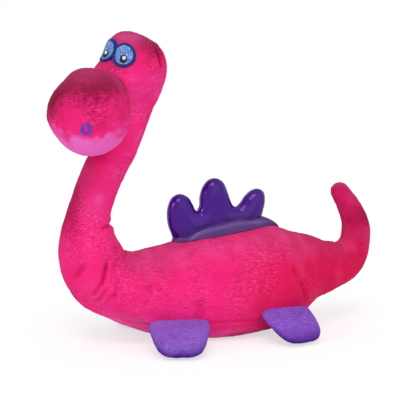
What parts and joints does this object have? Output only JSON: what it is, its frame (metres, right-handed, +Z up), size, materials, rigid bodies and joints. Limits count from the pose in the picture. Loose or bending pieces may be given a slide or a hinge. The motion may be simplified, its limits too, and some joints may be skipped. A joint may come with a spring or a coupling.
{
  "type": "stuffed dinosaur toy",
  "caption": "Plush long-necked dinosaur toy with a round snout, padded feet, a moulded fin comb on its back and a neck, head, tail and feet that bend and spring back.",
  "frame": {"origin": "a point on the flat of the belly that the toy lies on, below the front of the back fins", "axes": "+Z up from the flat of the belly, +X towards the tail and -X towards the chest, -Y towards the animal's left side, to which the head turns"},
  "size_m": [0.3214, 0.1592, 0.2737],
  "materials": {
    "pink_plush": "short matt pile",
    "purple_plush": "short matt pile",
    "rubber_comb": "glossy moulded rubber",
    "filling": "loose fibre filling",
    "navy_thread": "satin stitch",
    "blue_thread": "satin stitch",
    "black_thread": "satin stitch",
    "white_thread": "satin stitch",
    "violet_thread": "satin stitch"
  },
  "bodies": {
    "trunk": {"trunk_side_left": "pink_plush", "trunk_side_right": "pink_plush", "belly_gusset": "pink_plush", "trunk_stuffing": "filling", "comb": "rubber_comb"},
    "neck_lower": {"neck_lower_left": "pink_plush", "neck_lower_right": "pink_plush", "neck_lower_stuffing": "filling"},
    "neck_upper": {"neck_upper_left": "pink_plush", "neck_upper_right": "pink_plush", "neck_upper_stuffing": "filling"},
    "head": {"head_left": "pink_plush", "head_right": "pink_plush", "head_stuffing": "filling", "snout_left": "pink_plush", "snout_right": "pink_plush", "snout_stuffing": "filling", "eye_left_border": "navy_thread", "eye_left_iris": "blue_thread", "eye_left_pupil": "black_thread", "eye_left_glint": "white_thread", "eye_right_border": "navy_thread", "eye_right_iris": "blue_thread", "eye_right_pupil": "black_thread", "eye_right_glint": "white_thread", "nostril_left": "violet_thread", "nostril_right": "violet_thread"},
    "tail_base": {"tail_base_left": "pink_plush", "tail_base_right": "pink_plush", "tail_base_stuffing": "filling"},
    "tail_tip": {"tail_tip_left": "pink_plush", "tail_tip_right": "pink_plush", "tail_tip_stuffing": "filling"},
    "foot_front_left": {"foot_front_left_top": "purple_plush", "foot_front_left_sole": "purple_plush", "foot_front_left_stuffing": "filling"},
    "foot_front_right": {"foot_front_right_top": "purple_plush", "foot_front_right_sole": "purple_plush", "foot_front_right_stuffing": "filling"},
    "foot_rear_left": {"foot_rear_left_top": "purple_plush", "foot_rear_left_sole": "purple_plush", "foot_rear_left_stuffing": "filling"},
    "foot_rear_right": {"foot_rear_right_top": "purple_plush", "foot_rear_right_sole": "purple_plush", "foot_rear_right_stuffing": "filling"}
  },
  "joints": [
    {"name": "neck_bow", "type": "hinge", "parent": "trunk", "child": "neck_lower", "pos_m": [-0.10408, 0, 0.11397], "axis": [0, 1, 0], "range_deg": [-12, 12], "stiffness_Nm_per_rad": 1.2},
    {"name": "neck_twist", "type": "hinge", "parent": "neck_lower", "child": "neck_upper", "pos_m": [-0.08225, 0, 0.16869], "axis": [0.4618, 0, 0.887], "range_deg": [-25, 25], "stiffness_Nm_per_rad": 0.6},
    {"name": "head_nod", "type": "hinge", "parent": "neck_upper", "child": "head", "pos_m": [-0.06253, 0, 0.22514], "axis": [-0.5878, 0.809, 0], "range_deg": [-4, 14], "stiffness_Nm_per_rad": 0.8},
    {"name": "tail_wag", "type": "hinge", "parent": "trunk", "child": "tail_base", "pos_m": [0.126, 0, 0.05498], "axis": [0, 0, 1], "range_deg": [-16, 16], "stiffness_Nm_per_rad": 0.5},
    {"name": "tail_curl", "type": "hinge", "parent": "tail_base", "child": "tail_tip", "pos_m": [0.15915, 0, 0.09311], "axis": [0, 1, 0], "range_deg": [-14, 14], "stiffness_Nm_per_rad": 0.25},
    {"name": "foot_front_left_lift", "type": "hinge", "parent": "trunk", "child": "foot_front_left", "pos_m": [-0.03294, -0.03651, 0.02072], "axis": [-0.9511, 0.309, 0], "range_deg": [-8, 25], "stiffness_Nm_per_rad": 0.15},
    {"name": "foot_front_right_lift", "type": "hinge", "parent": "trunk", "child": "foot_front_right", "pos_m": [-0.03294, 0.03651, 0.02072], "axis": [0.9511, 0.309, 0], "range_deg": [-8, 25], "stiffness_Nm_per_rad": 0.15},
    {"name": "foot_rear_left_lift", "type": "hinge", "parent": "trunk", "child": "foot_rear_left", "pos_m": [0.06795, -0.03933, 0.02389], "axis": [-0.9781, -0.2079, 0], "range_deg": [-8, 25], "stiffness_Nm_per_rad": 0.15},
    {"name": "foot_rear_right_lift", "type": "hinge", "parent": "trunk", "child": "foot_rear_right", "pos_m": [0.06795, 0.03933, 0.02389], "axis": [0.9781, -0.2079, 0], "range_deg": [-8, 25], "stiffness_Nm_per_rad": 0.15}
  ]
}
